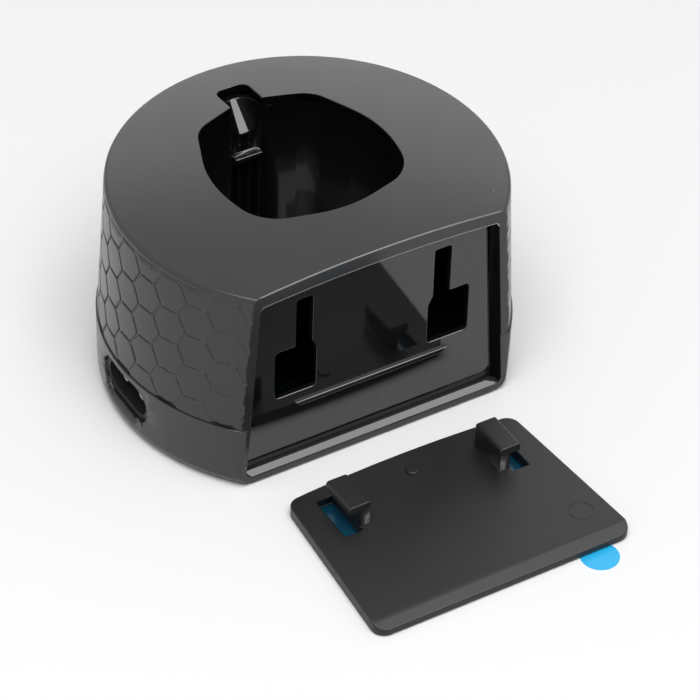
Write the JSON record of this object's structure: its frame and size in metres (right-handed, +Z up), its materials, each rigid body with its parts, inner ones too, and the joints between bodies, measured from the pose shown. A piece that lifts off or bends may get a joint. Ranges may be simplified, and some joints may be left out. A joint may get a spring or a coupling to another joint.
{
  "type": "wall-mounted shaver charger",
  "caption": "Round-fronted shaver charging dock with a honeycomb side and a keyhole back, and its hooked adhesive wall plate lying behind it.",
  "frame": {"origin": "on the table plane under the dock, at the centre of the dock's round side and of its non-slip pad", "axes": "+Z up, +Y towards the wall side where the hook panel is, -Y to the rounded front, inlet on the +X side"},
  "size_m": [0.0904, 0.1344, 0.0536],
  "materials": {
    "satin_black": "satin moulded",
    "gloss_black": "high gloss",
    "matte_black": "fine spark-eroded texture",
    "socket_black": "moulded",
    "rubber_grey": "matte",
    "screw_steel": "zinc plated",
    "spring_steel": "drawn wire",
    "nickel": "nickel plated",
    "contact_brass": "gold flashed",
    "board_green": "solder mask",
    "ivory_nylon": "moulded",
    "capacitor_can": "sleeved can",
    "diode_epoxy": "moulded epoxy",
    "clear_adhesive": "tacky acrylic",
    "blue_film": "film"
  },
  "bodies": {
    "dock": {"housing": "satin_black", "base_tray": "satin_black", "hook_panel": "gloss_black", "cradle": "gloss_black", "non_slip_pad": "rubber_grey", "housing_screws": "screw_steel", "cradle_screws": "screw_steel", "board_screws": "screw_steel", "circuit_board": "board_green", "inlet_socket": "socket_black", "inlet_pins": "nickel", "contact_block": "ivory_nylon", "spring_seats": "contact_brass", "pin_spring_left": "spring_steel", "pin_spring_right": "spring_steel", "smoothing_capacitor": "capacitor_can", "input_diode": "diode_epoxy"},
    "left_contact": {"contact_pin_left": "contact_brass"},
    "right_contact": {"contact_pin_right": "contact_brass"},
    "plate": {"wall_plate": "matte_black", "adhesive_pad": "clear_adhesive", "release_liner": "blue_film"}
  },
  "joints": [
    {"name": "left_contact_press", "type": "slide", "parent": "dock", "child": "left_contact", "axis": [0, 0, -1], "range_m": [0, 0.0015], "stiffness_N_per_m": 400, "springref_m": -0.001, "deforming": ["pin_spring_left"]},
    {"name": "right_contact_press", "type": "slide", "parent": "dock", "child": "right_contact", "axis": [0, 0, -1], "range_m": [0, 0.0015], "stiffness_N_per_m": 400, "springref_m": -0.001, "deforming": ["pin_spring_right"]},
    {"name": "plate_lift", "type": "slide", "parent": "dock", "child": "plate", "axis": [0, 0, 1], "range_m": [0, 0.04]}
  ]
}
